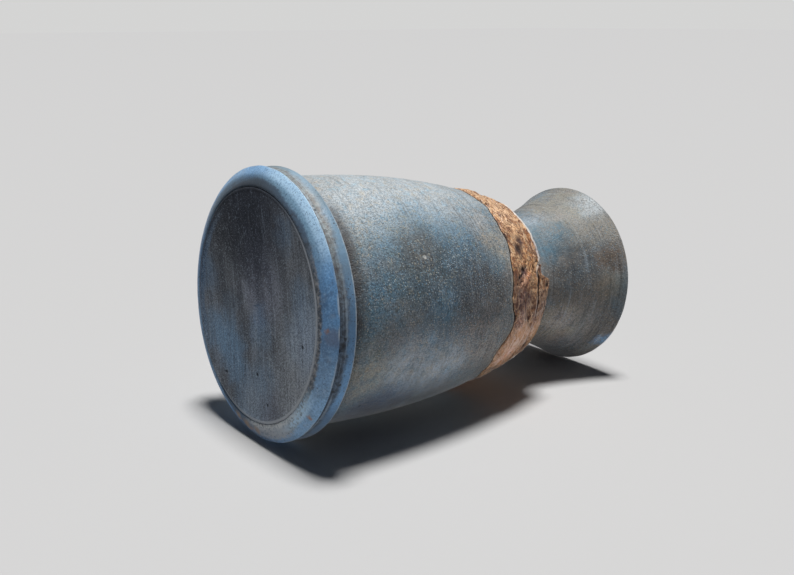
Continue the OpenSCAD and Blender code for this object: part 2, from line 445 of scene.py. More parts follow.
def makeLight(tableUp):
    ahead = Vector(photoCamera["up"]).cross(Vector(photoCamera["right"]))
    behind = (ahead - tableUp * ahead.dot(tableUp)).normalized()
    across = behind.cross(tableUp)
    for name, lamp in lamps.items():
        sun = bpy.data.lights.new(name, "SUN")
        sun.energy = lamp["light"] * math.pi
        sun.angle = math.radians(lamp["spread"])
        source = tableUp * lamp["up"] + behind * lamp["behind"] + across * lamp["right"]
        holder = bpy.data.objects.new(name, sun)
        holder.rotation_mode = "QUATERNION"
        holder.rotation_quaternion = source.to_track_quat("Z", "Y")
        bpy.context.scene.collection.objects.link(holder)
    world = bpy.data.worlds.new("studio")
    world.use_nodes = True
    bpy.context.scene.world = world
    tree = world.node_tree
    glow = tree.nodes["Background"]
    glow.inputs["Color"].default_value = (*ambient["tone"], 1)
    glow.inputs["Strength"].default_value = ambient["strength"]
    seen = tree.nodes.new("ShaderNodeBackground")
    seen.inputs["Color"].default_value = (*stageSet["backTone"], 1)
    mix = tree.nodes.new("ShaderNodeMixShader")
    path = tree.nodes.new("ShaderNodeLightPath")
    for socket, source in enumerate((path.outputs["Is Camera Ray"], glow.outputs[0], seen.outputs[0])):
        tree.links.new(source, mix.inputs[socket])
    tree.links.new(mix.outputs[0], tree.nodes["World Output"].inputs["Surface"])
    bpy.context.scene.view_settings.view_transform = "Standard"


makeCamera()
makeLight(makeStage())
print("camera, stage and light set")


# Torn edges shared by the wall, the band and the strip
tornEdge = {"wander": 0.45 * mm, "wanderSize": 3.2 * mm, "fray": 0.22 * mm, "fraySize": 1.1 * mm,
            "rise": 2.6 * mm, "riseTurn": -54, "riseWidth": 16}
tornLimits = {node: wrapLimits(node) for node in ("bark_band", "torn_strip")}


def frayed(turn, seed):
    spot = onAxis(50 * mm, turn, seed)
    return (tornEdge["wander"] * lump(spot, tornEdge["wanderSize"])
            + tornEdge["fray"] * lump(spot, tornEdge["fraySize"]))


def bandFoot(turn):
    rise = tornEdge["rise"] * hump((turn + 180) % 360 - 180, tornEdge["riseTurn"], tornEdge["riseWidth"])
    return limitsAt(tornLimits["bark_band"], turn % 360)[0] + frayed(turn, 0.1) + rise


def bandHead(turn):
    return limitsAt(tornLimits["bark_band"], turn % 360)[1] + 0.6 * frayed(turn, 0.2)


# Base: a dished underside with wire-cut lines, and the floor inside
baseDisc = {
    "columns": 480,
    "gap": 0.55 * mm,
    "floorRows": 9,
    "floorRise": 5.7 * mm,
    "dish": 2.3 * mm,
    "bed": 0.25 * mm,
    "ridgeBack": 0.8 * mm,
    "ridgeWidth": 0.75 * mm,
    "ridgeFoot": 2.4 * mm,
    "edgeDrop": 0.4 * mm,
    "edgeWidth": 0.45 * mm,
    "cutTurn": -57,
    "cutPitch": 1.25 * mm,
    "cutLength": 26 * mm,
    "cutDepth": 0.07 * mm,
    "grit": 0.06 * mm,
    "gritSize": 1.3 * mm,
    "gritSide": (-10 * mm, 40 * mm),
    "pinholes": [(21.5, 33.7, 0.75), (-19.7, 23.2, 0.65), (-42.5, 8.7, 0.6), (-19.4, 38.6, 0.6),
                 (17.7, 38.2, 0.4)],
    "pinholeDepth": 0.7 * mm,
}


def makeBase(look):
    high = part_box("base_disc")[1]
    rim = high.x
    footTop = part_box("foot_ring")[1].z
    floorRim = innerRadius("base_disc", high.z - 0.05 * mm)  # read just inside the edge
    side = outerRadius("base_disc", 0.5 * (high.z + footTop))
    steps = int(rim / baseDisc["gap"])
    rings = [(rim * step / steps, 0.0) for step in range(1, steps + 1)]
    bottom = len(rings)
    rings += [(rim, 0.6 * mm), (rim, footTop), (side, footTop), (side, high.z), (floorRim, high.z)]
    heights = spread(high.z - 0.3 * mm, high.z - baseDisc["floorRise"], baseDisc["floorRows"])
    rings += profile(innerRadius, "base_disc", heights)
    floorHeight = cadTree("base_disc").ray_cast(Vector((0.004, 0.001, 1.0)), Vector((0, 0, -1)))[0].z
    rings += [(share * floorRim, floorHeight) for share in (0.7, 0.35, 0.05)]
    across = onAxis(1.0, baseDisc["cutTurn"] + 90, 0.0)
    along = onAxis(1.0, baseDisc["cutTurn"], 0.0)
    crest = rim - baseDisc["ridgeBack"]
    dishRim = crest - baseDisc["ridgeFoot"]

    def shape(turn, radius, height, index):
        if index >= bottom:
            return radius, height, 0.0, 0.0
        spot = onAxis(radius, turn, 0.0)
        cut = Vector((spot.dot(across) / baseDisc["cutPitch"], spot.dot(along) / baseDisc["cutLength"], 0.0))
        inside = 1 - easeStep(radius, dishRim, crest)
        lines = noise.fractal(cut, 0.8, 2.0, 3) * inside
        rough = 0.3 + 0.7 * easeStep(spot.dot(across), *baseDisc["gritSide"])
        grit = lump(spot, baseDisc["gritSize"], 4.0) * rough
        dish = baseDisc["dish"] * max(0.0, 1 - (radius / crest) ** 2)
        depth = dish + baseDisc["bed"] * inside - baseDisc["cutDepth"] * lines - baseDisc["grit"] * grit
        relief = 0.5 * lines + 0.5 * grit
        for x, y, width in baseDisc["pinholes"]:
            hole = hump((spot - Vector((x * mm, y * mm, 0))).length, 0.0, width * mm)
            depth += baseDisc["pinholeDepth"] * hole
            relief -= 3 * hole
        depth += baseDisc["edgeDrop"] * easeStep(radius, rim - baseDisc["edgeWidth"], rim)
        ridge = hump(radius, crest, baseDisc["ridgeWidth"])
        return radius, max(0.0, depth), relief, ridge

    piece = turnPiece("vase_base", rings, baseDisc["columns"], shape, closed=False)
    dress(piece, "base_disc", look)


# Foot ring: a shallow roll under a sharp worn edge
footRing = {
    "columns": 520,
    "rollRows": 34,
    "edge": 0.5 * mm,
    "wear": 0.14 * mm,
    "wearSize": 6 * mm,
    "dent": 0.10 * mm,
    "dentSize": 5 * mm,
    "grit": 0.05 * mm,
    "gritSize": 1.2 * mm,
    "rawWidth": 2.7 * mm,
    "joint": 0.14 * mm,
    "jointBack": 0.5 * mm,
    "jointWidth": 0.45 * mm,
}


def makeFootRing(look):
    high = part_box("foot_ring")[1]
    rim, top = high.x, high.z
    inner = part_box("base_disc")[1].x
    wide = top - footRing["edge"]
    heights = spread(0.03 * mm, wide, footRing["rollRows"])
    rings = [(inner, 0.35 * mm)] + profile(outerRadius, "foot_ring", heights, high=wide - 0.02 * mm)
    rings += [(rim, wide + 0.12 * mm), (rim - 0.12 * mm, top - 0.2 * mm), (rim - 0.5 * mm, top)]
    rings += [(rim - 1.6 * mm, top), (rim - 3.6 * mm, top), (inner, top)]

    def shape(turn, radius, height, index):
        if index == 0 or radius < inner + 0.05 * mm or index >= len(rings) - 2:
            return radius, height, 0.0, 0.0
        spot = onAxis(radius, turn, height)
        dents = roughLump(spot, footRing["dentSize"], 3, 8.0)
        grit = lump(spot, footRing["gritSize"], 9.0)
        raw = 1 - easeStep(radius, inner + 0.6 * footRing["rawWidth"], inner + 1.4 * footRing["rawWidth"])
        edge = hump(height, wide, 0.6 * mm) * easeStep(radius, rim - 1.2 * mm, rim)
        worn = max(0.0, 0.55 + 0.9 * lump(spot, footRing["wearSize"], 3.0))
        shift = -footRing["dent"] * max(0.0, dents) + footRing["grit"] * grit * (0.25 + raw)
        shift -= footRing["wear"] * edge * worn
        joint = hump(radius, inner + footRing["jointBack"], footRing["jointWidth"])
        relief = 0.7 * grit * (0.3 + raw) - 0.5 * max(0.0, dents) - 0.5 * joint
        height += footRing["joint"] * joint - shift * 0.5
        return radius + shift * 0.7, max(0.02 * mm, height), relief, edge * min(1.0, worn)

    dress(turnPiece("vase_foot_ring", rings, footRing["columns"], shape), "foot_ring", look)


# Bead above the groove
footBead = {
    "columns": 520,
    "rows": 26,
    "edgeRows": 5,
    "grit": 0.10 * mm,
    "gritSize": 1.5 * mm,
    "pit": 0.28 * mm,
    "pitSize": 2.4 * mm,
    "wear": 0.12 * mm,
    "wearSize": 7 * mm,
}


def makeFootBead(look):
    low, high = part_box("foot_bead")
    rim, top, root = high.x, high.z, low.z
    crest = top - beadEdge
    inner = innerRadius("foot_bead", 0.5 * (root + top))
    heights = spread(root, crest, footBead["rows"])
    rings = [(inner, root)]
    rings += profile(outerRadius, "foot_bead", heights, root + 0.05 * mm, crest - 0.02 * mm)
    for step in spread(15, 90, footBead["edgeRows"]):
        angle = math.radians(step)
        rings.append((rim - beadEdge * (1 - math.cos(angle)), crest + beadEdge * math.sin(angle)))
    rings += [(rim - 2.6 * mm, top), (inner, top)]

    def shape(turn, radius, height, index):
        if index in (0, 1, len(rings) - 1):
            return radius, height, -1.0, 0.0
        spot = onAxis(radius, turn, height)
        inGroove = 1 - easeStep(height, root + 2.0 * mm, root + 5.5 * mm)
        grit = lump(spot, footBead["gritSize"], 21.0)
        pitted = (0.3 + inGroove) * easeStep(lump(spot, 14 * mm, 2.0), -0.1, 0.2)
        pits = pitDepth(spot, footBead["pitSize"], 0.42, 0.5, 3.0) * pitted
        edge = hump(height, top - 0.4 * mm, 0.6 * mm)
        worn = max(0.0, 0.55 + 0.9 * lump(spot, footBead["wearSize"], 5.0))
        shift = footBead["grit"] * grit * (0.25 + inGroove) - footBead["pit"] * pits
        shift -= footBead["wear"] * edge * worn
        return radius + shift, height, 0.8 * grit * (0.3 + inGroove) - 2 * pits, edge * min(1.0, worn)

    dress(turnPiece("vase_foot_bead", rings, footBead["columns"], shape), "foot_bead", look)


# Thrown wall: finger ridges, gritty skin, and a torn lip under the band
bodyWall = {
    "columns": 520,
    "rows": 156,
    "insideRows": 16,
    "profileSteps": 400,
    "ridge": 0.10 * mm,
    "ridgePitch": 8.5 * mm,
    "line": 0.035 * mm,
    "linePitch": 1.35 * mm,
    "grit": 0.055 * mm,
    "gritSize": 1.2 * mm,
    "lump": 0.10 * mm,
    "lumpSize": 7 * mm,
    "pit": 0.2 * mm,
    "pitSize": 3.4 * mm,
    "lip": 0.2 * mm,
    "letIn": 0.6 * mm,
    "chipTurn": 16,
    "chipHeight": 54.3 * mm,
    "chipWidth": 1.0 * mm,
    "chipDepth": 0.3 * mm,
}


def wallProfile():
    # outside radius of the wall at any height between the bead and the seam
    foot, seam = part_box("foot_bead")[1].z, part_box("body_wall")[1].z
    steps = bodyWall["profileSteps"]
    inset = 0.02 * mm
    radii = [outerRadius("body_wall", height) for height in spread(foot + inset, seam - inset, steps)]

    def radiusAt(height):
        place = min(steps - 0.001, max(0.0, steps * (height - foot) / (seam - foot)))
        step = int(place)
        return radii[step] + (radii[step + 1] - radii[step]) * (place - step)

    return radiusAt


wallRadius = wallProfile()


def onWall(turn, height):
    return onAxis(wallRadius(height), turn, height)


def makeBody(look):
    low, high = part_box("body_wall")
    foot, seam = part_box("foot_bead")[1].z, high.z
    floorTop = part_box("base_disc")[1].z
    rows = bodyWall["rows"]
    # rings with no radius yet hold a share of the height up to the torn edge
    rings = [(outerRadius("body_wall", low.z + 0.5 * mm), low.z)]
    rings += [(0.0, share) for share in spread(0.0, 1.0, rows) + [1.006, 1.012]]
    rings += [(wallRadius(seam) - bodyWall["letIn"], seam)]
    heights = spread(seam - 0.05 * mm, floorTop + 0.05 * mm, bodyWall["insideRows"])
    rings += profile(innerRadius, "body_wall", heights)
    rings += [(innerRadius("body_wall", low.z + 0.5 * mm), low.z)]
    chipSpot = onWall(bodyWall["chipTurn"], bodyWall["chipHeight"])

    def shape(turn, radius, height, index):
        if radius > 0:
            inside = index > rows + 4
            return radius, height, 0.0, -1.0 if inside else 0.0
        torn = bandFoot(turn)
        z = foot + (torn - foot) * height
        spot = onWall(turn, z)
        ridges = math.sin(2 * math.pi * z / bodyWall["ridgePitch"] + 1.5 * lump(spot, 60 * mm, 2.0))
        slant = 0.8 * math.sin(math.radians(turn))
        lines = noise.noise(Vector((z / bodyWall["linePitch"], slant, 3.0)))
        grit = lump(spot, bodyWall["gritSize"], 1.0)
        swell = roughLump(spot, bodyWall["lumpSize"], 2, 6.0)
        pits = pitDepth(spot, bodyWall["pitSize"], 0.26, 0.3)
        below = torn - z
        lip = hump(below, 0.9 * mm, 0.8 * mm)
        sunk = 1 - easeStep(below, -0.1 * mm, 0.35 * mm)
        chip = hump((spot - chipSpot).length, 0.0, bodyWall["chipWidth"])
        shift = (bodyWall["ridge"] * ridges * lump(spot, 35 * mm, 9.0) + bodyWall["line"] * lines
                 + bodyWall["grit"] * grit + bodyWall["lump"] * swell - bodyWall["pit"] * pits
                 + bodyWall["lip"] * lip - bodyWall["letIn"] * sunk - bodyWall["chipDepth"] * chip)
        shift *= easeStep(z, foot, foot + 1.2 * mm) if sunk < 0.5 else 1.0
        relief = 0.55 * grit + 0.25 * lines + 0.25 * swell - 1.6 * pits - 2.0 * sunk
        return wallRadius(z) + shift, z, relief, max(lip, 1.2 * chip)

    dress(turnPiece("vase_body", rings, bodyWall["columns"], shape), "body_wall", look)


# Shoulder under the band: raw clay, seen on the ledge and inside
shoulderRing = {"columns": 220, "rows": 24, "insideRows": 10, "grit": 0.08 * mm, "gritSize": 2.5 * mm}


def makeShoulder(look):
    low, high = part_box("shoulder_ring")
    inset = 0.03 * mm
    neckFoot = innerRadius("neck_collar", high.z + 1.0 * mm)
    heights = spread(low.z + inset, high.z - inset, shoulderRing["rows"])
    rings = profile(outerRadius, "shoulder_ring", heights)
    crown = rings[-1][0]
    rings += [(crown - 1.2 * mm, high.z), (neckFoot, high.z)]
    outside = len(rings) - 2
    under = Vector((neckFoot + 0.2 * mm, 0.0, 0.05))
    bottom = cadTree("shoulder_ring").ray_cast(under, Vector((0, 0, 1)))[0].z
    for height in spread(bottom, low.z, shoulderRing["insideRows"]):
        rings.append((innerRadius("shoulder_ring", max(low.z + inset, height - 0.05 * mm)), height))

    def shape(turn, radius, height, index):
        if index >= outside or index == 0:
            return radius, height, 0.0, 0.0
        grit = roughLump(onAxis(radius, turn, height), shoulderRing["gritSize"], 3, 4.0)
        return radius + shoulderRing["grit"] * grit, height, grit, 0.0

    piece = turnPiece("vase_shoulder", rings, shoulderRing["columns"], shape)
    dress(piece, "shoulder_ring", look)


# Torn raw clay wrapped round the shoulder, and the strip above it; blots have turn, height and width
tornClay = {
    "band": {"columns": 700, "rows": 90, "backRows": 6, "smooth": 4, "fold": 0.34 * mm, "crack": 0.5 * mm,
             "hollow": 0.9 * mm, "edge": 1.2 * mm, "letIn": 0.3 * mm},
    "strip": {"columns": 330, "rows": 32, "backRows": 6, "smooth": 2, "fold": 0.26 * mm, "crack": 0.4 * mm,
              "hollow": 0.7 * mm, "edge": 0.8 * mm, "letIn": 0.0, "freeEnd": 11},
    "edgeRound": 0.3 * mm,
    "letInHeight": 6 * mm,
    "blots": [(6, 111, 1.1), (8, 121, 1.9), (13, 117.5, 2.3), (26, 117, 1.7), (30, 113, 0.9),
              (55, 122, 0.8), (36, 138, 1.1), (47, 113, 0.7), (98, 119, 1.2), (125, 113, 1.0),
              (163, 121, 1.7), (204, 115, 1.1), (237, 121, 1.6), (274, 114, 1.0), (306, 119, 1.5)],
    "stripFrom": 130,
}


def onBand(turn, height):
    return onAxis(outerRadius("bark_band", height, turn), turn, height)


def onStrip(turn, height):
    return onAxis(outerRadius("torn_strip", height, turn), turn, height)


blots = []
for turn, height, width in tornClay["blots"]:
    placeOn = onBand if height < tornClay["stripFrom"] else onStrip
    blots.append((placeOn(turn, height * mm), width * mm))


def smoothGrid(grid, passes, ringed):
    # evens out the facets of the solid's torn face
    rows, columns = len(grid), len(grid[0])
    for _ in range(passes):
        fresh = []
        for row in range(rows):
            above, below = grid[min(rows - 1, row + 1)], grid[max(0, row - 1)]
            here = grid[row]
            line = []
            for column in range(columns):
                left = column - 1 if column or ringed else 0
                right = (column + 1) % columns if ringed else min(columns - 1, column + 1)
                line.append((2 * here[column] + here[left] + here[right] + above[column] + below[column]) / 6)
            fresh.append(line)
        grid = fresh
    return grid


def tornRelief(spot, seed):
    # folds, broken cracks and hollows, drawn out round the pot and bent by a slow swirl
    moved = spot + noise.noise_vector(spot / (7 * mm) + Vector((seed, 0, 0))) * 2.2 * mm
    drawn = Vector((moved.x, moved.y, 1.7 * moved.z))
    folds = roughLump(drawn, 3.6 * mm, 4, seed)
    crack = 1 - easeStep(abs(lump(drawn, 4.4 * mm, seed + 3)), 0.015, 0.085)
    crack *= easeStep(lump(moved, 8 * mm, seed + 7), -0.1, 0.25)
    hollow = easeStep(roughLump(drawn, 5.4 * mm, 3, seed + 11), 0.42, 0.85)
    for centre, width in blots:
        if abs(spot.z - centre.z) < 2.5 * width:
            hollow = max(hollow, hump((moved - centre).length, 0.0, width))
    return folds, crack, hollow


def gridOf(node, turns, shares, radiusAt, footAt, headAt):
    # a radius for each share of the piece's height at each turn, read inside the solid's own limits
    edges = []
    for turn in turns:
        low, high = limitsAt(tornLimits[node], turn % 360)
        inset = 0.015 * (high - low)
        edges.append((footAt(turn), headAt(turn), low + inset, high - inset))
    grid = []
    for share in shares:
        line = []
        for turn, (foot, head, low, high) in zip(turns, edges):
            line.append(radiusAt(node, min(high, max(low, foot + (head - foot) * share)), turn))
        grid.append(line)
    return grid


def tornPiece(name, node, sizes, turns, footAt, headAt, ringed, seed):
    rows, backRows = sizes["rows"], sizes["backRows"]
    outside = gridOf(node, turns, spread(0, 1, rows), outerRadius, footAt, headAt)
    face = smoothGrid(outside, sizes["smooth"], ringed)
    back = gridOf(node, turns, spread(0, 1, backRows), innerRadius, footAt, headAt)
    count = rows + backRows + 2
    points, faces, marks = [], [], []
    for column, turn in enumerate(turns):
        foot, head = footAt(turn), headAt(turn)
        for row, share in enumerate(spread(0, 1, rows)):
            z = foot + (head - foot) * share
            spot = onAxis(face[row][column], turn, z)
            folds, crack, hollow = tornRelief(spot, seed)
            nearFoot = 1 - easeStep(z - foot, 0.0, sizes["edge"])
            nearHead = 1 - easeStep(head - z, 0.0, sizes["edge"])
            hold = 1 - 0.7 * max(nearFoot, nearHead)
            shift = (sizes["fold"] * folds - sizes["crack"] * crack - sizes["hollow"] * hollow) * hold
            shift -= sizes["letIn"] * (1 - easeStep(z - foot, 0.0, tornClay["letInHeight"]))
            shift -= tornClay["edgeRound"] * (nearFoot ** 2 + nearHead ** 2)
            points.append(onAxis(face[row][column] + shift, turn, z))
            relief = 0.8 * folds - 1.1 * crack - 1.5 * hollow - 1.2 * nearFoot ** 3
            marks.append((relief, 1 - easeStep(head - z, 0.0, 3.6 * sizes["edge"])))
        for row in range(backRows + 1):
            share = min(0.99, max(0.012, 1 - row / backRows))
            inside = back[backRows - row][column] - (sizes["letIn"] if share < 0.3 else 0.0)
            points.append(onAxis(inside, turn, foot + (head - foot) * share))
            marks.append((-1.0, 0.0))
    for column in range(len(turns) if ringed else len(turns) - 1):
        here, there = column * count, (column + 1) % len(turns) * count
        for row in range(count):
            after = (row + 1) % count
            faces.append((here + row, there + row, there + after, here + after))
    if not ringed:
        faces.append(tuple(range(count)))
        faces.append(tuple((len(turns) - 1) * count + row for row in reversed(range(count))))
    return makePiece(name, points, faces, marks)


def makeBand(look):
    sizes = tornClay["band"]
    turns = [360 * column / sizes["columns"] for column in range(sizes["columns"])]
    piece = tornPiece("vase_band", "bark_band", sizes, turns, bandFoot, bandHead, True, 12.0)
    dress(piece, "bark_band", look)


def makeStrip(look):
    sizes = tornClay["strip"]
    limits = tornLimits["torn_strip"]
    turns = spread(limits[0][0] + 4.5, limits[-1][0] - 0.05, sizes["columns"])

    def foot(turn):
        gap = 1.3 * mm * max(0.0, 0.3 + 1.4 * lump(onAxis(0.04, turn, 0.3), 5 * mm))
        low, high = limitsAt(limits, turn)
        return low + min(gap, 0.45 * (high - low))

    def head(turn):
        # low at its free end, up to the knot
        top = limitsAt(limits, turn)[1] + 0.6 * frayed(turn, 0.4)
        rise = easeStep(turn, turns[0] + sizes["freeEnd"] - 5, turns[0] + sizes["freeEnd"])
        return foot(turn) + (top - foot(turn)) * (0.4 + 0.6 * rise)

    piece = tornPiece("vase_strip", "torn_strip", sizes, turns, foot, head, False, 31.0)
    dress(piece, "torn_strip", look)


# Flared neck with a thin lip
neckCollar = {
    "columns": 460,
    "rows": 96,
    "lipRows": 10,
    "insideRows": 46,
    "grit": 0.05 * mm,
    "gritSize": 1.2 * mm,
    "lump": 0.12 * mm,
    "lumpSize": 8 * mm,
    "line": 0.04 * mm,
    "linePitch": 1.5 * mm,
    "lipWave": 0.14 * mm,
}


def onNeck(turn, height):
    return onAxis(outerRadius("neck_collar", height), turn, height)


def makeNeck(look):
    low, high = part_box("neck_collar")
    mouth = high.z - lipRound
    lipCentre = high.x - lipRound
    start, end = low.z + 0.03 * mm, mouth - 0.05 * mm
    rings = profile(outerRadius, "neck_collar", spread(start, end, neckCollar["rows"]))
    outside = len(rings)
    for step in range(1, neckCollar["lipRows"]):
        angle = math.pi * step / neckCollar["lipRows"]
        rings.append((lipCentre + lipRound * math.cos(angle), mouth + lipRound * math.sin(angle)))
    rings += profile(innerRadius, "neck_collar", spread(end, start, neckCollar["insideRows"]))

    def shape(turn, radius, height, index):
        spot = onAxis(radius, turn, height)
        grit = lump(spot, neckCollar["gritSize"], 1.0)
        swell = roughLump(spot, neckCollar["lumpSize"], 2, 6.0)
        slant = 0.7 * math.cos(math.radians(turn))
        lines = noise.noise(Vector((height / neckCollar["linePitch"], slant, 8.0)))
        lip = easeStep(height, mouth - 1.5 * mm, mouth)
        wave = neckCollar["lipWave"] * lump(spot, 14 * mm, 14.0) * lip
        inside = index > outside + neckCollar["lipRows"] // 2
        hold = easeStep(height, low.z, low.z + 1.5 * mm)
        shift = neckCollar["grit"] * grit + neckCollar["lump"] * swell + neckCollar["line"] * lines
        relief = 0.6 * grit + 0.3 * swell + 0.25 * lines
        return radius + (-shift if inside else shift) * hold, height + min(0.0, wave), relief, lip

    dress(turnPiece("vase_neck", rings, neckCollar["columns"], shape), "neck_collar", look)


# Finishes of the pot
clayTones = {
    "blueGrey": (0.160, 0.240, 0.300),
    "sky": (0.400, 0.470, 0.510),
    "denim": (0.072, 0.210, 0.315),
    "teal": (0.080, 0.170, 0.215),
    "coal": (0.050, 0.058, 0.068),
    "sootAndShade": (0.045, 0.042, 0.042),
    "taupe": (0.215, 0.207, 0.200),
    "clay": (0.250, 0.228, 0.205),
    "ash": (0.330, 0.322, 0.315),
    "olive": (0.300, 0.285, 0.235),
    "beige": (0.410, 0.370, 0.300),
    "brown": (0.130, 0.105, 0.085),
    "rustBrown": (0.190, 0.135, 0.095),
    "rawDark": (0.160, 0.120, 0.090),
    "rawLight": (0.300, 0.220, 0.160),
    "pale": (0.600, 0.630, 0.640),
    "veilAndSheen": (0.660, 0.712, 0.735),
    "dustAndLight": (0.420, 0.495, 0.560),
    "fleckSand": (0.600, 0.500, 0.350),
    "fleckBlue": (0.170, 0.400, 0.560),
    "cutDark": (0.105, 0.117, 0.140),
    "cutLight": (0.250, 0.275, 0.310),
    "night": (0.028, 0.031, 0.040),
    "hole": (0.020, 0.021, 0.024),
    "baseBlue": (0.180, 0.330, 0.510),
    "rimBlue": (0.110, 0.205, 0.345),
    "baseAsh": (0.400, 0.435, 0.475),
    "footBlue": (0.140, 0.335, 0.620),
    "footDeep": (0.080, 0.165, 0.310),
    "footPale": (0.440, 0.660, 0.860),
    "footPlum": (0.160, 0.170, 0.240),
    "grooveBlue": (0.130, 0.180, 0.245),
    "grooveGrey": (0.255, 0.285, 0.275),
    "beadGrey": (0.225, 0.290, 0.310),
    "navy": (0.070, 0.120, 0.190),
    "rust": (0.400, 0.200, 0.095),
    "tan": (0.400, 0.275, 0.175),
}


def laidPatches(look, patches, placeOn, drift, broken):
    # soft patches with uneven broken edges: tone, turn, height, width and strength of each
    for tone, turn, height, width, strength in patches:
        patch = look.patch(drift, placeOn(turn, height * mm), width * mm, 0.6)
        look.coat(look.times(patch, broken, strength), tone)


def slipPatches(look, patches, placeOn):
    broken = look.cloud(6 * mm, 0.34, 0.60, 0.2, 1.0, 7, 0.72)
    laidPatches(look, patches, placeOn, look.wandering(9 * mm, 15 * mm), broken)


def tinted(look, tints, placeOn, drift):
    # broad changes of tone, mostly painted light and shade that lift or lower the brightness: tint, turn,
    # height and width of each
    for tone, turn, height, width in tints:
        look.tint(look.patch(drift, placeOn(turn, height * mm), width * mm, 0.5), tone)


def grittySkin(look, strength):
    # broken tool lines, dark gaps between the grains as painted shade, and light grains of several tones,
    # partly painted glints
    rings = look.grain(1.0, 4, 0.65, at=look.stretched((36, 36, 640)))
    ringArea = look.cloud(22 * mm, 0.36, 0.58, 0.2, 1.0)
    look.coat(look.times(look.span(rings, 0.50, 0.68, 0.0, 0.65), ringArea), "coal")
    look.coat(look.times(look.span(rings, 0.46, 0.30, 0.0, 0.4), ringArea), "dustAndLight")
    fine = look.grain(0.75 * mm, 2, 0.6)
    coarse = look.grain(2.2 * mm, 4, 0.7)
    look.tint(look.span(fine, 0.40, 0.55, 0.8 * strength, 0.0), (0.30, 0.35, 0.39))
    look.tint(look.span(coarse, 0.36, 0.52, 0.5 * strength, 0.0), (0.50, 0.46, 0.42))
    # painted shade: coal in pits, cracks and where the wall tucks in under the band
    look.coat(look.span(look.mark("relief"), -0.25, -1.2, 0.0, 0.6), "coal")
    # light grains, partly painted glints on the grit
    grains, pick = look.dots(0.72 * mm, 0.52, 0.8)
    tone = look.ramp(pick, [(0.30, "fleckSand"), (0.42, "pale"), (0.60, "dustAndLight"), (0.82, "fleckBlue")])
    look.coat(look.times(grains, look.cloud(16 * mm, 0.36, 0.60, 0.35 * strength, 0.85 * strength)), tone)
    height = look.plus(look.times(fine, 0.7), look.times(grains, 0.45), look.times(coarse, 0.6))
    height = look.math("SUBTRACT", height, look.times(rings, 0.4))
    return look.bump(height, 0.5 * mm * strength)


# Wall: the veil is pale dust and painted sheen on the lit side, with turn, height, width and strength; among
# the patches, sky on the top is partly painted highlight, coal across the middle and near the bottom partly
# painted shade, and dust and pale low on the near side painted bounce light
bodySlip = {
    "patches": [
        ("sky", -34, 34, 30, 0.95), ("sky", -30, 66, 26, 0.8), ("sky", -20, 84, 19, 0.7),
        ("sky", -4, 34, 13, 0.55), ("dustAndLight", -4, 76, 11, 0.5), ("ash", -1, 97, 9, 0.8),
        ("denim", 6, 72, 17, 0.8), ("denim", 14, 82, 9, 0.6), ("teal", 20, 57, 22, 0.75),
        ("teal", 34, 78, 16, 0.7), ("coal", 34, 66, 24, 0.7), ("coal", 35, 85, 14, 0.7),
        ("coal", 37, 98, 8, 0.5), ("coal", 12, 52, 10, 0.65), ("taupe", 13, 53, 8, 0.6),
        ("pale", -1, 96, 8, 0.35), ("coal", 30, 95, 11, 0.7), ("denim", 36, 27, 12, 0.75),
        ("denim", 37, 62, 7, 0.6), ("beige", -36, 19, 9, 0.7), ("olive", 4, 22, 8, 0.55),
        ("beige", 68, 24, 14, 0.85), ("beige", 11, 102, 9, 0.85), ("denim", 22, 98, 5, 0.8),
        # dust and pale low on the near side are painted bounce light
        ("ash", 56, 88, 17, 0.8), ("taupe", 56, 44, 14, 0.7), ("dustAndLight", 69, 55, 19, 0.75),
        ("dustAndLight", 76, 70, 12, 0.8), ("pale", 66, 44, 9, 0.25), ("pale", 72, 67, 10, 0.35),
        ("ash", 70, 92, 11, 0.6), ("coal", 100, 44, 20, 0.75), ("coal", 93, 62, 13, 0.5),
        ("denim", 150, 60, 26, 0.6), ("taupe", 200, 40, 24, 0.7), ("denim", 250, 80, 22, 0.7),
        ("beige", 290, 30, 20, 0.6), ("coal", 180, 90, 22, 0.5), ("teal", 310, 60, 22, 0.6),
        ("sky", 225, 60, 20, 0.6), ("taupe", 120, 80, 20, 0.7),
    ],
    "veilAndSheen": [(-46, 30, 36, 0.9), (-44, 70, 32, 0.85), (-36, 95, 20, 0.6), (-14, 46, 16, 0.15)],
    "tints": [
        ((0.86, 1.0, 1.1), 20, 58, 28), ((0.72, 0.72, 0.74), 36, 89, 15), ((1.06, 1.13, 1.2), 68, 56, 28),
        ((0.84, 0.78, 0.73), 13, 53, 10), ((1.2, 1.1, 1.05), 56, 90, 16), ((0.56, 0.62, 0.78), 97, 38, 19),
        ((0.74, 0.75, 0.78), 86, 72, 11), ((0.84, 0.86, 0.9), 33, 78, 12), ((0.9, 0.88, 0.86), 34, 98, 8),
        ((1.1, 1.01, 0.97), 50, 58, 24), ((0.84, 0.82, 0.80), -34, 25, 12), ((0.82, 0.84, 0.92), 94, 36, 10),
    ],
    "cove": (3.5 * mm, 10.5 * mm),
    "specular": 0.5,
    "sheen": 0.4,
}


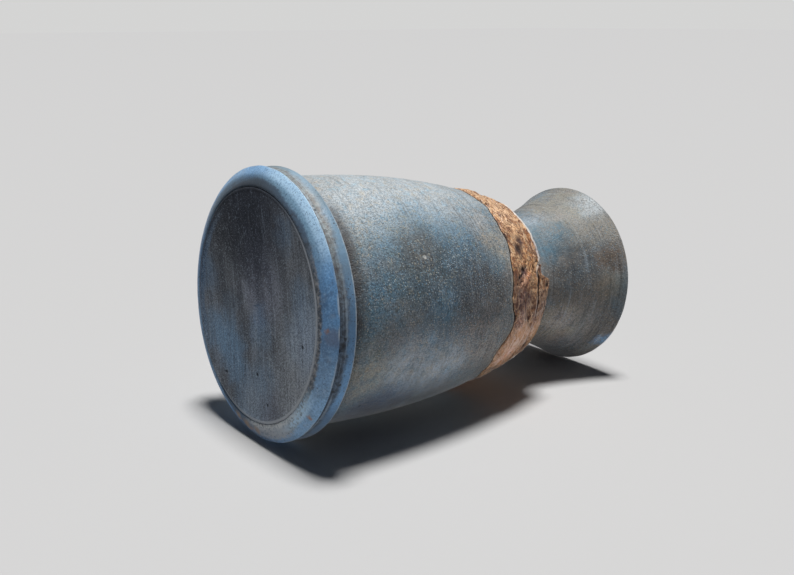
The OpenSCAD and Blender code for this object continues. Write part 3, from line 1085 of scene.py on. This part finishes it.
def bodyFinish():
    look = Finish("bodySlip", clayTones)
    wear = look.mark("wear")
    look.colour = look.blend(look.span(look.grain(46 * mm, 5, 0.6, 0.4), 0.38, 0.58), "taupe", "blueGrey")
    look.coat(look.span(look.grain(15 * mm, 6, 0.68, 0.6), 0.46, 0.70, 0.0, 0.7), "teal")
    slipPatches(look, bodySlip["patches"], onWall)
    drift = look.wandering(10 * mm, 16 * mm)
    # the pale veil on the lit side: dust and painted sheen
    veilAndSheen = 0.0
    for turn, height, width, strength in bodySlip["veilAndSheen"]:
        patch = look.patch(drift, onWall(turn, height * mm), width * mm, 0.7)
        veilAndSheen = look.math("MAXIMUM", veilAndSheen, look.times(patch, strength))
    look.coat(veilAndSheen, "veilAndSheen")
    plain = look.colour
    bumps = grittySkin(look, 1.0)
    calm = look.patch(drift, onWall(76, 50 * mm), 32 * mm, 0.5)
    look.coat(look.times(calm, 0.5), plain)
    look.coat(look.times(veilAndSheen, 0.36), "veilAndSheen")
    mottle = look.grain(3.6 * mm, 5, 0.7, 0.6)
    look.tint(look.span(mottle, 0.48, 0.34, 0.0, 0.8), (1.16, 1.0, 0.82))
    look.tint(look.span(mottle, 0.52, 0.66, 0.0, 0.8), (0.78, 1.0, 1.12))
    # tints as painted light and shade: darker across the middle and near the table, lighter low on the near
    # side
    tinted(look, bodySlip["tints"], onWall, drift)
    chipSpot = onWall(bodyWall["chipTurn"], bodyWall["chipHeight"])
    chip = look.patch(look.wandering(1.2 * mm, 1.4 * mm), chipSpot, 0.85 * bodyWall["chipWidth"], 0.4)
    look.coat(look.times(chip, 0.9), "pale")
    frayedLip = look.cloud(4 * mm, 0.40, 0.60, 0.15, 1.0, 4, 0.7)
    look.coat(look.times(look.span(wear, 0.2, 0.9, 0.0, 0.7), frayedLip), "beige")
    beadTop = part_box("foot_bead")[1].z
    start, end = bodySlip["cove"]
    # painted shade in the cove just above the bead, strongest round one side
    cove = look.span(look.height(), beadTop + start, beadTop + end, 0.97, 0.0)
    side = look.span(look.spot(54 * mm, 17, 18 * mm, 28 * mm, 0.5), 0.0, 1.0, 0.28, 1.0)
    look.coat(look.times(cove, look.cloud(5 * mm, 0.3, 0.6, 0.6, 1.0, 5, 0.7), side), "sootAndShade")
    look.coat(look.span(wear, -0.4, -0.6), "taupe")  # the inside
    return look.finish(look.cloud(12 * mm, 0.3, 0.7, 0.44, 0.6), bumps, bodySlip)


# Neck: patches and tints as on the wall; the coal patch and the darkest tint on the underside are painted
# shade, and the brown patches near the top partly painted shade where the lit side turns away
neckSlip = {
    "patches": [
        ("olive", -6, 177, 14, 0.7), ("brown", -2, 176, 8, 0.3), ("olive", -40, 178, 18, 0.85),
        ("sky", -22, 187, 9, 0.75), ("pale", -19, 188, 6, 0.5), ("teal", -9, 155, 12, 0.8),
        ("dustAndLight", -36, 156, 9, 0.6), ("denim", 2, 154, 9, 0.6), ("denim", -8, 164, 6, 0.5),
        ("coal", 20, 166, 12, 0.7), ("coal", 40, 158, 9, 0.3), ("rustBrown", 23, 184, 8, 0.95),
        ("brown", 46, 178, 9, 0.35), ("coal", 64, 184, 8, 0.5), ("footBlue", 84, 188, 4.5, 0.9),
        ("beige", 78, 162, 12, 0.9), ("ash", 68, 176, 9, 0.5), ("coal", 112, 172, 12, 0.6),
        ("denim", 160, 160, 14, 0.7), ("teal", 210, 175, 16, 0.6), ("beige", 250, 170, 15, 0.6),
        ("denim", 290, 155, 13, 0.7),
    ],
    "tints": [
        ((0.82, 0.84, 0.86), 21, 184, 7), ((1.3, 1.2, 1.05), 42, 182, 8), ((1.3, 1.22, 1.22), 99, 171, 9),
        ((1.45, 1.3, 1.2), 84, 188, 4), ((0.88, 0.9, 0.9), 3, 165, 9), ((0.5, 0.5, 0.56), 124, 183, 11),
        ((1.14, 1.14, 1.24), 74, 161, 7),
    ],
    "specular": 0.5,
    "sheen": 0.25,
}


def neckFinish():
    look = Finish("neckSlip", clayTones)
    broad = look.span(look.grain(26 * mm, 5, 0.6, 0.4), 0.44, 0.66, 0.0, 0.7)
    look.colour = look.blend(broad, "clay", "blueGrey")
    slipPatches(look, neckSlip["patches"], onNeck)
    bumps = grittySkin(look, 0.6)
    # tints lift and lower brightness as painted light and shade
    tinted(look, neckSlip["tints"], onNeck, look.wandering(6 * mm, 8 * mm))
    return look.finish(look.cloud(12 * mm, 0.3, 0.7, 0.52, 0.7), bumps, neckSlip)


# Foot: pale places have turn, width and strength, those on the lit top partly painted highlight, bare places
# turn, width and reach, light slip that runs in over the bare clay tone, turn, width and reach, stains tone,
# turn, distance out, width and strength; the bead tints are painted light and shade
footSlip = {
    "radius": 58 * mm,
    "rollRadius": 56 * mm,
    "beadHeight": 9 * mm,
    "pale": [(-58, 26, 0.1), (-18, 25, 1.0), (4, 13, 0.5), (84, 26, 0.35), (200, 30, 0.4), (280, 26, 0.4)],
    "bare": [(128, 34, 3.8), (-58, 30, 0.6), (-150, 62, -4.5)],
    "runIn": [("footPale", 94, 17, 6.0), ("baseAsh", 117, 16, 8.0), ("pale", 112, 20, 3.2)],
    "stains": [("rust", 43, 4.4, 1.1, 0.85), ("rust", 85, 6.2, 1.1, 0.8), ("tan", 130, 4.2, 2.2, 0.75),
               ("tan", 139, 4.0, 2.6, 0.9), ("tan", 147, 3.2, 2.2, 0.8), ("rust", 135, 4.4, 1.2, 0.6),
               ("footPlum", 45, 7.2, 3.6, 0.55)],
    "beadTints": [((0.72, 0.75, 0.76), 14, 40), ((1.05, 1.2, 1.35), 4, 13), ((0.55, 0.53, 0.53), 96, 18),
                  ((0.9, 0.84, 0.8), -56, 12), ((1.22, 1.25, 1.3), -27, 9)],
    "specular": 0.5,
    "sheen": 0.15,
}


def footFinish(name, paleShare, speckSize, speckShare):
    # blue slip, thin and pale in places and partly painted highlight on the lit top, with deeper clouds;
    # gives back its grain and its dark specks too
    look = Finish(name, clayTones)
    clouds = look.span(look.grain(10 * mm, 6, 0.65, 0.5), 0.40, 0.68, 0.0, 0.75)
    look.colour = look.blend(clouds, "footBlue", "footDeep")
    drift = look.wandering(14 * mm, 22 * mm)
    for turn, width, strength in footSlip["pale"]:
        patch = look.patch(drift, onAxis(footSlip["radius"], turn, 6 * mm), width * mm, 0.6)
        look.coat(look.times(patch, strength * paleShare), "footPale")
    look.coat(look.cloud(5 * mm, 0.54, 0.74, 0.0, 0.3, 5, 0.7), "dustAndLight")
    fine = look.grain(0.8 * mm, 3, 0.65)
    look.coat(look.span(fine, 0.36, 0.54, 0.5, 0.0), "footDeep")
    look.coat(look.span(fine, 0.54, 0.70, 0.0, 0.4), "footPale")
    speckArea = look.cloud(14 * mm, 0.42, 0.58, 0.15, 1.0)
    specks = look.times(look.dots(speckSize, 0.42, speckShare)[0], speckArea, 0.85)
    return look, fine, specks


def rawClay(look, dark, light):
    return look.blend(look.cloud(1.8 * mm, 0.38, 0.64, 0.0, 1.0, 4, 0.7), dark, light)


def raggedEdge(look, value, wave, waveSize, fray, fraySize, rough):
    # a distance with a slow wave and a torn edge, to split two tones by
    waved = look.math("SUBTRACT", value, look.times(look.grain(waveSize, 2), wave))
    return look.plus(waved, look.times(look.grain(fraySize, 5, rough), fray))


def edgeWearAndShade(look, pitStart, pitEnd, pitShare):
    # coal where the relief is low is painted shade in dents and pits, and marks the joint; pale dust on the
    # rubbed edges is wear and partly painted edge highlight
    look.coat(look.span(look.mark("relief"), pitStart, pitEnd, 0.0, pitShare), "coal")
    look.coat(look.span(look.mark("wear"), 0.25, 0.95, 0.0, 0.75), "dustAndLight")


def footRingFinish():
    look, fine, specks = footFinish("footRingBlue", 1.0, 0.75 * mm, 0.3)
    look.coat(specks, "sootAndShade")
    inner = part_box("base_disc")[1].x
    outward = look.fromAxis()
    roll = footSlip["rollRadius"]

    def nearBase(start, end, share):
        return look.span(outward, inner + start * mm, inner + end * mm, share, 0.0)

    # painted shade on the inner part of the roll on the upper side, where it faces away from the light
    rollShade = look.spot(roll, -40, 0, 56 * mm, 0.4)
    look.tint(look.times(rollShade, nearBase(4.4, 6.7, 1.0)), (0.48, 0.56, 0.60))
    ragged = raggedEdge(look, outward, 5 * mm, 30 * mm, 4.2 * mm, 1.3 * mm, 0.75)
    for turn, width, reach in footSlip["bare"]:
        bare = look.spot(roll, turn, 0, width * mm, 0.5)
        ragged = look.math("SUBTRACT", ragged, look.times(bare, reach * mm))
    rawEdge = inner + footRing["rawWidth"] - 0.4 * mm
    raw = look.span(ragged, rawEdge - 0.7 * mm, rawEdge + 0.7 * mm, 0.9, 0.0)
    side = look.spot(roll - 1 * mm, 62, 0, 46 * mm, 0.3)
    look.coat(raw, look.blend(side, "navy", rawClay(look, "coal", "ash")))
    broken = look.cloud(1.1 * mm, 0.36, 0.54, 0.2, 1.0, 4, 0.7)
    for tone, turn, width, reach in footSlip["runIn"]:
        patch = look.spot(roll - 1 * mm, turn, 0, width * mm, 0.5)
        look.coat(look.times(patch, nearBase(reach - 2, reach, 0.95), broken), tone)
    drift = look.wandering(2.5 * mm, 3 * mm)
    for tone, turn, out, width, strength in footSlip["stains"]:
        patch = look.patch(drift, onAxis(inner + out * mm, turn, 0.42 * out * mm), width * mm, 0.6)
        look.coat(look.times(patch, strength), tone)
    edgeWearAndShade(look, -0.2, -1.1, 0.7)
    # more painted shade on the inner part of the roll at the top
    dim = look.spot(roll, -64, 0, 34 * mm, 0.5)
    look.tint(look.times(dim, nearBase(2.8, 5.6, 1.0)), (0.44, 0.44, 0.42))
    roughness = look.cloud(8 * mm, 0.3, 0.7, 0.38, 0.58)
    return look.finish(roughness, look.bump(fine, 0.1 * mm), footSlip)


def footBeadFinish():
    look, fine, specks = footFinish("footBeadBlue", 0.45, 0.95 * mm, 0.75)

    def beadSpot(turn, width, soft):
        return look.spot(footSlip["radius"], turn, footSlip["beadHeight"], width * mm, soft)

    look.coat(look.times(beadSpot(-34, 64, 0.4), 0.78), "beadGrey")
    look.coat(look.times(beadSpot(70, 44, 0.4), 0.42), "footBlue")
    # bead tints lift and lower brightness as painted light and shade, darkest at turn 96 towards the table
    for tone, turn, width in footSlip["beadTints"]:
        look.tint(beadSpot(turn, width, 0.5), tone)
    look.coat(specks, "sootAndShade")
    low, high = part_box("foot_bead")
    # pale line along the crest: rubbed dust and partly painted edge highlight
    height = look.height()
    edge = look.span(height, high.z - 1.3 * mm, high.z - 0.9 * mm, 0.0, 0.7)
    look.coat(look.times(edge, look.cloud(2.5 * mm, 0.38, 0.56, 0.2, 1.0, 4, 0.7)), "dustAndLight")
    groove = look.spot(footSlip["radius"], -32, 7 * mm, 56 * mm, 0.5)
    clay = look.blend(groove, rawClay(look, "coal", "grooveBlue"), rawClay(look, "brown", "grooveGrey"))
    lines = look.grain(1.0, 3, 0.6, at=look.stretched((20, 20, 1100)))
    clay = look.blend(look.span(lines, 0.50, 0.62, 0.0, 0.6), clay, "sootAndShade")
    clay = look.blend(look.span(lines, 0.46, 0.36, 0.0, 0.5), clay, "dustAndLight")
    ragged = raggedEdge(look, height, 6 * mm, 26 * mm, 3 * mm, 2.2 * mm, 0.72)
    rawEdge = low.z + 2.6 * mm
    look.coat(look.span(ragged, rawEdge - 1.2 * mm, rawEdge + 1.2 * mm, 0.9, 0.0), clay)
    edgeWearAndShade(look, -0.3, -1.2, 0.8)
    look.coat(look.span(height, high.z - 0.2 * mm, high.z - 0.02 * mm), "brown")  # the step in to the wall
    roughness = look.cloud(8 * mm, 0.3, 0.7, 0.42, 0.62)
    return look.finish(roughness, look.bump(fine, 0.14 * mm), footSlip)


# Base: patches have tone, softness, and the place across the base, width and strength of each; night on the
# upper part is partly painted shade and ash on the lower part partly painted light, and the tints are painted
# light and shade
baseClay = {
    "patches": [
        ("baseBlue", 0.7, [(-32, 1, 11, 1.0), (-33, 13, 8, 0.7), (-38, -12, 9, 0.75), (-29, -37, 9, 0.6),
                           (-30, 30, 12, 0.55), (40, -10, 7, 0.55), (-5, 9, 9, 0.6), (24, 33, 13, 0.6),
                           (36, 30, 9, 0.5), (-14, 28, 9, 0.45), (33, 18, 8, 0.45), (-20, -14, 6, 0.3)]),
        ("baseAsh", 0.8, [(20, 36, 14, 0.6), (2, 43, 12, 0.55), (37, 31, 9, 0.55), (-28, 33, 9, 0.35)]),
        ("night", 0.8, [(22, -32, 24, 0.95), (2, -40, 16, 0.9), (10, -18, 13, 0.65), (-18, -18, 8, 0.4)]),
    ],
    "tints": [
        ((0.68, 0.72, 0.84), 26, -34, 22), ((0.74, 0.77, 0.81), -27, -37, 11),
        ((0.78, 0.78, 0.84), -20, 45, 9), ((1.16, 1.16, 1.28), 8, -6, 16), ((1.06, 1.12, 1.2), 27, 34, 12),
    ],
    "specular": 0.3,
    "sheen": 0.05,
}


def baseFinish():
    look = Finish("baseClay", clayTones)
    turned = look.add("ShaderNodeVectorRotate", rotation_type="Z_AXIS")
    look.feed(turned.inputs["Vector"], look.place)
    turned.inputs["Angle"].default_value = math.radians(-baseDisc["cutTurn"])
    cut = turned.outputs["Vector"]
    lines = look.grain(1.0, 4, 0.65, at=look.stretched((45, 620, 45), cut))
    broad = look.grain(1.0, 4, 0.6, at=look.stretched((16, 90, 16), cut))
    look.colour = look.blend(look.span(broad, 0.36, 0.62), "cutDark", "cutLight")
    drift = look.wandering(8 * mm, 14 * mm)
    for tone, soft, places in baseClay["patches"]:
        for x, y, width, strength in places:
            look.coat(look.times(look.patch(drift, (x * mm, y * mm, 0), width * mm, soft), strength), tone)
    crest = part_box("base_disc")[1].x - baseDisc["ridgeBack"]
    fromAxis = look.fromAxis()
    outward = look.plus(fromAxis, look.times(look.grain(3 * mm, 4, 0.7), 3 * mm))
    rimPaint = look.span(outward, crest - 3.4 * mm, crest - 1.6 * mm, 0.0, 0.75)
    look.coat(look.times(rimPaint, look.spot(crest, -132, 0, 30 * mm, 0.5)), "rimBlue")
    look.coat(look.span(lines, 0.46, 0.62, 0.0, 0.45), "cutDark")
    look.coat(look.span(lines, 0.44, 0.34, 0.0, 0.3), "dustAndLight")
    fine = look.grain(0.65 * mm, 3, 0.65)
    look.coat(look.span(fine, 0.40, 0.53, 0.6, 0.0), "coal")
    look.coat(look.span(fine, 0.54, 0.66, 0.0, 0.5), "dustAndLight")
    speckSide = look.patch(drift, (8 * mm, 38 * mm, 0), 26 * mm, 0.5)
    look.coat(look.times(look.dots(0.95 * mm, 0.5, 0.75)[0], speckSide, 0.7), "dustAndLight")
    # tints that lift and lower brightness, as painted light and shade, darkest on the upper part
    for tone, x, y, width in baseClay["tints"]:
        look.tint(look.patch(drift, (x * mm, y * mm, 0), width * mm, 0.7), tone)
    relief = look.mark("relief")
    look.coat(look.span(relief, 0.2, 0.8, 0.0, 0.4), "taupe")
    # painted shade in the pinholes and the deepest cuts
    look.coat(look.span(relief, -0.3, -1.5, 0.0, 0.8), "hole")
    side = look.span(look.patch(drift, onAxis(50 * mm, 65, 0), 62 * mm, 0.4), 0.0, 1.0, 0.2, 1.0)
    look.coat(look.times(look.span(look.mark("wear"), 0.25, 0.9, 0.0, 0.85), side), "baseAsh")
    # painted shade on the upper part just inside the ridge
    shaded = look.times(look.spot(50 * mm, -62, 0, 52 * mm, 0.4),
                        look.span(fromAxis, crest - 2.2 * mm, crest - 0.4 * mm))
    look.tint(shaded, (0.40, 0.42, 0.46))
    bumps = look.bump(lines, 0.16 * mm, look.bump(fine, 0.16 * mm))
    return look.finish(look.cloud(10 * mm, 0.3, 0.7, 0.5, 0.68), bumps, baseClay)


innerClay = {"specular": 0.35, "sheen": 0.08}


def innerFinish():
    look = Finish("innerClay", clayTones)
    mottle = look.grain(6 * mm, 5, 0.65)
    look.colour = look.blend(look.span(mottle, 0.35, 0.7), "rawDark", "rawLight")
    look.coat(look.span(look.mark("relief"), 0.0, -1.0, 0.0, 0.7), "brown")
    look.coat(look.times(look.dots(0.8 * mm, 0.5, 0.6)[0], 0.6), "taupe")
    fine = look.grain(0.9 * mm, 3, 0.7)
    look.coat(look.span(fine, 0.40, 0.52, 0.6, 0.0), "sootAndShade")
    return look.finish(look.span(mottle, 0.3, 0.7, 0.7, 0.85), look.bump(fine, 0.2 * mm), innerClay)


# Torn clay: streaky pale places have turn, height and width, and those low on the near side are painted
# bounce light; peach patches on the top are partly painted highlight and plum below them partly painted shade
tornTones = {
    "pit": (0.028, 0.017, 0.014),
    "umber": (0.115, 0.062, 0.046),
    "plum": (0.225, 0.145, 0.130),
    "rust": (0.360, 0.150, 0.070),
    "orange": (0.600, 0.285, 0.108),
    "tan": (0.680, 0.415, 0.230),
    "peach": (0.860, 0.615, 0.405),
    "blush": (0.960, 0.690, 0.500),
    "glow": (0.860, 0.560, 0.320),
    "amber": (0.760, 0.400, 0.190),
    "bone": (0.800, 0.740, 0.680),
}
tornSkin = {
    "patches": [
        ("peach", -38, 122, 14, 0.55), ("peach", -14, 120, 9, 0.7), ("tan", 2, 116, 6, 0.6),
        ("orange", 20, 121, 7, 0.6), ("plum", 41, 116, 9, 1.0), ("orange", 77, 116, 14, 0.8),
        ("orange", 31, 119, 5, 0.9), ("umber", 7, 110.5, 2.6, 0.9), ("umber", 7, 121, 3.2, 0.85),
        ("umber", 14, 118, 3.0, 0.8), ("umber", 26, 117, 2.8, 0.9), ("umber", 31, 112, 3.2, 0.8),
        ("umber", 43, 117, 3.2, 0.6), ("umber", 54, 121.5, 2.4, 0.8), ("plum", 62, 116, 4, 0.6),
        ("umber", 36, 138, 2.0, 0.7), ("plum", 130, 118, 12, 0.7), ("peach", 180, 122, 14, 0.6),
        ("umber", 215, 116, 6, 0.7), ("tan", 250, 120, 14, 0.6), ("plum", 290, 118, 10, 0.7),
        ("umber", 150, 112, 4, 0.8), ("umber", 268, 124, 4, 0.8),
    ],
    "tints": [
        ((1.2, 1.35, 1.7), 55, 116, 4.5), ((1.2, 1.15, 1.35), 31, 118, 4), ((1.3, 1.3, 1.3), 10, 121, 4),
        ((1.22, 1.22, 1.34), 81, 116, 6), ((0.72, 0.72, 0.78), 12, 132, 4),
        ((0.9, 0.98, 1.25), 52, 134, 8), ((1.06, 1.08, 1.22), 68, 117, 16),
        ((0.72, 0.68, 0.82), 42, 116, 5.5), ((1.12, 1.12, 1.12), -10, 119, 9),
    ],
    "streaky": [(74, 117, 11), (66, 121, 6), (66, 133, 7), (170, 116, 9), (250, 121, 10)],
    "figureTurns": 34.0,
    "specular": 0.5,
    "sheen": 0.05,
}


def tornFinish(name, shade, paleRim):
    look = Finish(name, tornTones)
    relief = look.mark("relief")
    swirled = look.wandering(8 * mm, 13 * mm)
    burl = look.grain(7 * mm, 7, 0.68, 2.0, at=swirled)
    fibres = look.grain(1.0, 6, 0.68, 0.8, at=look.stretched((110, 110, 520), swirled))
    mixed = look.plus(look.times(burl, 0.55), look.times(fibres, 0.45))
    stops = [(0.41, "umber"), (0.455, "rust"), (0.49, "orange"), (0.53, "tan"), (0.60, "peach")]
    look.colour = look.ramp(mixed, stops)
    drift = look.wandering(6 * mm, 10 * mm)
    broken = look.cloud(3.2 * mm, 0.36, 0.58, 0.25, 1.0, 6, 0.72)
    laidPatches(look, tornSkin["patches"], onBand, drift, broken)
    look.coat(look.span(look.grain(4.5 * mm, 5, 0.65, 1.5, at=swirled), 0.57, 0.64, 0.0, 0.85), "umber")
    veins = look.math("ABSOLUTE", look.math("SUBTRACT", look.grain(5 * mm, 2.5, 0.6, 1.4, at=swirled), 0.5))
    look.coat(look.span(veins, 0.008, 0.036, 0.9, 0.0), "umber")
    figure = look.grain(1.0, 1.5, 0.5, 1.6, at=look.stretched((75, 75, 130)))
    rings = look.math("SINE", look.times(figure, tornSkin["figureTurns"]))
    look.coat(look.span(rings, 0.45, 0.95, 0.0, 0.62), "rust")
    look.coat(look.span(rings, 0.88, 1.0, 0.0, 0.7), "umber")
    look.coat(look.span(rings, -0.4, -1.0, 0.0, 0.5), "glow")
    streaks = look.grain(1.0, 3, 0.65, at=look.stretched((150, 150, 980), swirled))
    look.coat(look.span(streaks, 0.62, 0.74, 0.0, 0.5), "umber")
    look.coat(look.span(streaks, 0.40, 0.28, 0.0, 0.5), "peach")
    look.tint(shade, "plum")
    # painted shade in the pits, cracks, hollows and the crevice along the lower edge
    look.coat(look.span(relief, -0.45, -1.35, 0.0, 0.92), "pit")
    look.coat(look.span(relief, 0.3, 0.9, 0.0, 0.45), "tan")
    # pale streaks low on the near side are painted bounce light
    pale = look.blend(look.span(fibres, 0.42, 0.58), "amber", "blush")
    between = look.span(streaks, 0.58, 0.68, 0.85, 0.3)
    for turn, height, width in tornSkin["streaky"]:
        look.coat(look.times(look.patch(drift, onBand(turn, height * mm), width * mm, 0.5), between), pale)
    ragged = look.wandering(1.8 * mm, 4.5 * mm)
    # painted shade in the hollows of the blots
    for centre, width in blots:
        look.coat(look.patch(ragged, centre, 1.3 * width, 0.7), "umber")
        look.coat(look.patch(ragged, centre, 0.7 * width, 0.5), "pit")
    look.tint(look.spot(48 * mm, 140, 118 * mm, 44 * mm, 0.6), (0.72, 0.70, 0.70))  # the side that lies down
    # pale rim along the top edge: paler clay and painted highlight on the lit side
    rim = look.patch(drift, onAxis(42 * mm, -5, 133 * mm), 23 * mm, 0.4)
    worn = look.span(look.plus(look.mark("wear"), look.times(rim, 0.28)), 0.74, 0.98, 0.0, paleRim)
    rim = look.math("MAXIMUM", rim, look.cloud(6 * mm, 0.42, 0.62, 0.1, 0.5, 4, 0.7))
    look.coat(look.times(worn, rim), "bone")
    # tints as painted light and shade: bluer and lighter across the shaded side, with a few darker spots
    tinted(look, tornSkin["tints"], onBand, drift)
    bumps = look.bump(mixed, 0.6 * mm, look.bump(look.grain(0.8 * mm, 3, 0.7), 0.12 * mm))
    return look.finish(look.span(burl, 0.3, 0.7, 0.3, 0.5), bumps, tornSkin)


makeBase(baseFinish())
makeFootRing(footRingFinish())
makeFootBead(footBeadFinish())
makeBody(bodyFinish())
makeShoulder(innerFinish())
makeBand(tornFinish("tornClay", 0.0, 0.95))
makeStrip(tornFinish("tornStrip", 0.2, 0.25))
makeNeck(neckFinish())
